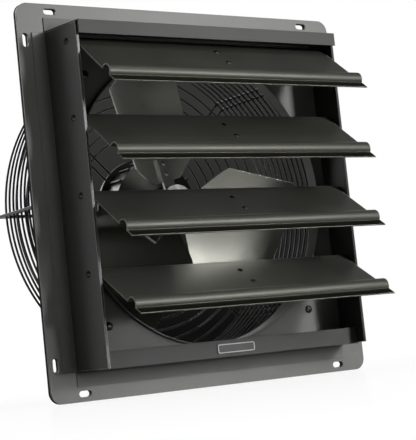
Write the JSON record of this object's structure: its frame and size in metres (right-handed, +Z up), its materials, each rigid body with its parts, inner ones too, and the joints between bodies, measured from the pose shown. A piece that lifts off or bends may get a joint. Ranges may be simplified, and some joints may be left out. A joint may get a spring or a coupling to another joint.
{
  "type": "shutter exhaust fan",
  "caption": "Square wall-mount exhaust fan: propeller in a round opening behind pivoted gravity louvres, with a caged motor at the back and slotted flange holes.",
  "frame": {"origin": "centre of the slot pattern on the mounting face, which is the back of the gasket", "axes": "+X across the fan to the viewer's right, +Y from the louvres to the guard, +Z up"},
  "size_m": [0.42, 0.2454, 0.42],
  "materials": {
    "plate_paint": "satin powder coat",
    "housing_paint": "satin powder coat",
    "louvre_paint": "satin powder coat",
    "gasket_foam": "closed-cell foam",
    "badge_blank": "matte, blank",
    "fastener_steel": "zinc plated",
    "dark_screws": "black oxide",
    "weight_steel": "satin black",
    "spacer_nylon": "matte",
    "guard_black": "black powder coat",
    "motor_black": "semi-gloss black",
    "motor_core": "bare laminations",
    "gland_plastic": "matte",
    "paddle_metal": "satin",
    "hub_metal": "bright zinc"
  },
  "bodies": {
    "frame": {"badge_plate": "badge_blank", "bottom_rail": "housing_paint", "cable_gland": "gland_plastic", "guard_back_rings": "guard_black", "guard_feet": "guard_black", "guard_nuts": "dark_screws", "guard_screws": "dark_screws", "guard_side_rings": "guard_black", "guard_spokes": "guard_black", "left_side_panel": "housing_paint", "motor_bell": "motor_black", "motor_front_bearing": "fastener_steel", "motor_plate": "motor_black", "motor_rear_bearing": "fastener_steel", "motor_rear_cover": "motor_black", "motor_screws": "dark_screws", "motor_stator": "motor_core", "motor_support_bars": "guard_black", "mounting_plate": "plate_paint", "pivot_pins_left": "dark_screws", "pivot_pins_right": "dark_screws", "pivot_spacers_left": "spacer_nylon", "pivot_spacers_right": "spacer_nylon", "right_side_panel": "housing_paint", "top_rail": "housing_paint", "wall_gasket": "gasket_foam"},
    "rotor": {"fan_spider": "hub_metal", "paddle_1": "paddle_metal", "paddle_2": "paddle_metal", "paddle_3": "paddle_metal", "paddle_rivets": "fastener_steel", "hub_washer": "fastener_steel", "hub_nut": "fastener_steel", "motor_shaft": "fastener_steel", "motor_rotor_core": "motor_core"},
    "louvre_1": {"louvre_1": "louvre_paint", "louvre_weight_1": "weight_steel", "louvre_rivets_1": "dark_screws"},
    "louvre_2": {"louvre_2": "louvre_paint", "louvre_weight_2": "weight_steel", "louvre_rivets_2": "dark_screws"},
    "louvre_3": {"louvre_3": "louvre_paint", "louvre_weight_3": "weight_steel", "louvre_rivets_3": "dark_screws"},
    "louvre_4": {"louvre_4": "louvre_paint", "louvre_weight_4": "weight_steel", "louvre_rivets_4": "dark_screws"}
  },
  "joints": [
    {"name": "fan_spin", "type": "hinge", "parent": "frame", "child": "rotor", "pos_m": [0, 0.05, 0], "axis": [0, 1, 0], "continuous": true},
    {"name": "louvre_1_swing", "type": "hinge", "parent": "frame", "child": "louvre_1", "pos_m": [0, -0.0416, 0.161], "axis": [-1, 0, 0], "range_deg": [-49, 20]},
    {"name": "louvre_2_swing", "type": "hinge", "parent": "frame", "child": "louvre_2", "pos_m": [0, -0.0416, 0.0802], "axis": [-1, 0, 0], "range_deg": [-50, 20.5]},
    {"name": "louvre_3_swing", "type": "hinge", "parent": "frame", "child": "louvre_3", "pos_m": [0, -0.0416, -0.0006], "axis": [-1, 0, 0], "range_deg": [-53, 22]},
    {"name": "louvre_4_swing", "type": "hinge", "parent": "frame", "child": "louvre_4", "pos_m": [0, -0.0416, -0.0814], "axis": [-1, 0, 0], "range_deg": [-56, 23]}
  ],
  "couplings": [
    {"joint": "louvre_2_swing", "follows": "louvre_1_swing", "ratio": 1.0204},
    {"joint": "louvre_3_swing", "follows": "louvre_1_swing", "ratio": 1.0816},
    {"joint": "louvre_4_swing", "follows": "louvre_1_swing", "ratio": 1.1428}
  ]
}
